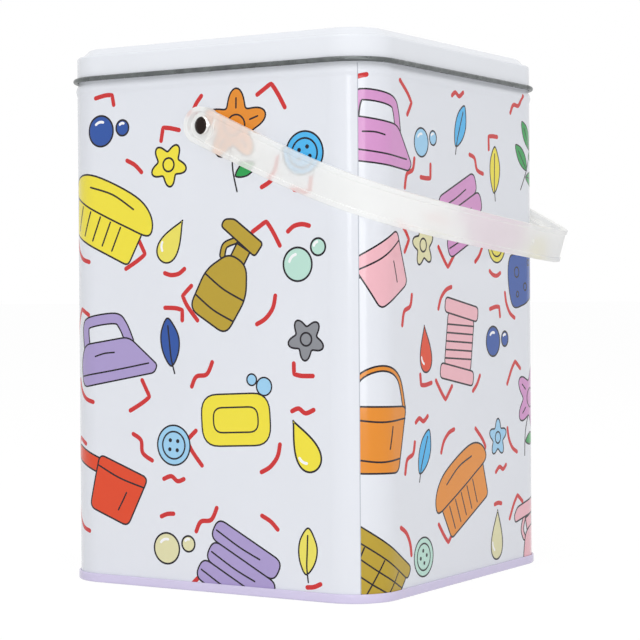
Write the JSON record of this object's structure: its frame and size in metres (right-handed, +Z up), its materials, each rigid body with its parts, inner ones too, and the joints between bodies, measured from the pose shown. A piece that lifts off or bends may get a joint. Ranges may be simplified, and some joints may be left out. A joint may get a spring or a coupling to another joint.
{
  "type": "laundry powder tin",
  "caption": "Square enamelled tinplate drum with rounded corners, a lift-off lid with a curled edge and a swinging plastic bail handle, for storing washing powder.",
  "frame": {"origin": "centre of the base panel's underside, which is recessed 3.4 mm above the standing rim", "axes": "+Z up along the drum's height, +Y along the handle's pivot line, +X out of the face that the handle's bow rests over"},
  "size_m": [0.2107, 0.1874, 0.2512],
  "materials": {
    "white_enamel": "glossy white enamel with printed motifs",
    "lavender_enamel": "glossy lavender enamel",
    "milky_plastic": "translucent milky polypropylene",
    "polished_steel": "polished",
    "plain_steel": "bare bright steel"
  },
  "bodies": {
    "drum": {"body_shell": "white_enamel", "base_plate": "lavender_enamel", "rivet_front": "polished_steel", "rivet_back": "polished_steel", "washer_front": "plain_steel", "washer_back": "plain_steel"},
    "lid": {"lid": "white_enamel"},
    "handle": {"handle": "milky_plastic"}
  },
  "joints": [
    {"name": "handle_swing", "type": "hinge", "parent": "drum", "child": "handle", "pos_m": [0, 0, 0.2077], "axis": [0, -1, 0], "range_deg": [0, 231]},
    {"name": "lid_lift", "type": "slide", "parent": "drum", "child": "lid", "axis": [0, 0, 1], "range_m": [0, 0.06]}
  ]
}
